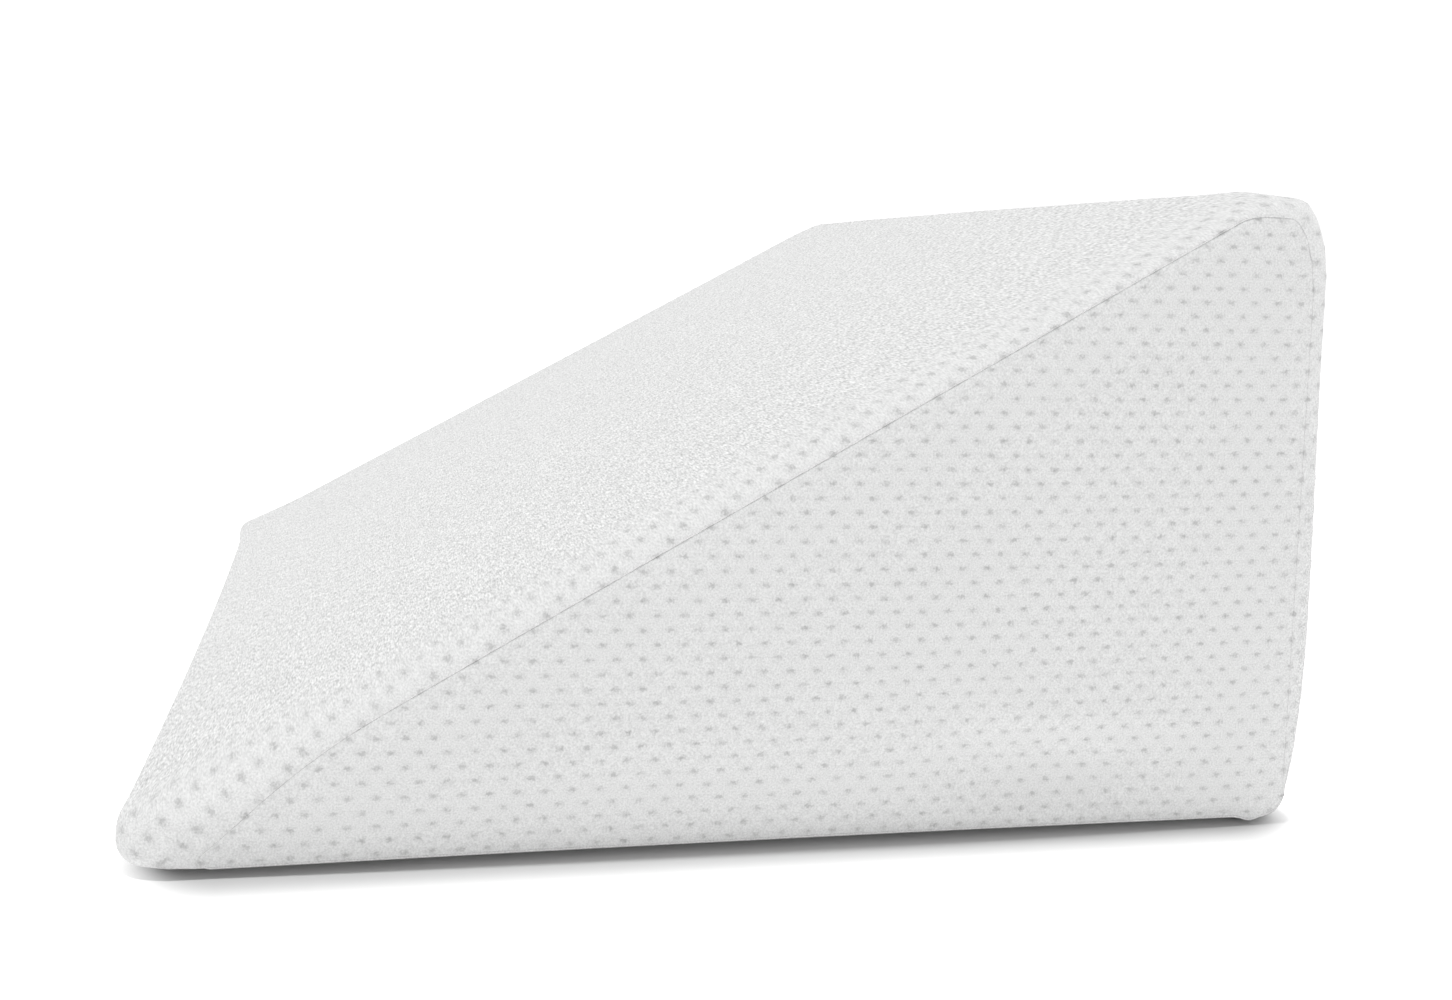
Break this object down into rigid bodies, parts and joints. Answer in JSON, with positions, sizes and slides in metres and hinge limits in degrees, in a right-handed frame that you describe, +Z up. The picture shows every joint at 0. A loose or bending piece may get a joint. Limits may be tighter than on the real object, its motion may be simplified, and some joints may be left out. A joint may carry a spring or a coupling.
{
  "type": "wedge pillow",
  "caption": "Bed wedge pillow: a foam wedge with a straight slope, blunt toe and tall back, in a white knit cover with a side panel sewn in at each end.",
  "frame": {"origin": "middle of the pillow's bounding box, on the surface that its base lies on", "axes": "+X from the thin toe to the tall back, +Y from the near end to the far end, +Z up from the flat base"},
  "size_m": [0.6172, 0.66, 0.3331],
  "materials": {
    "wrap_panel_knit": "white dimpled polyester knit, matt",
    "side_panel_knit": "white dimpled polyester knit, matt"
  },
  "bodies": {
    "root": {"filled_wedge": "wrap_panel_knit", "side_panel_near": "side_panel_knit", "side_panel_far": "side_panel_knit"}
  },
  "joints": []
}
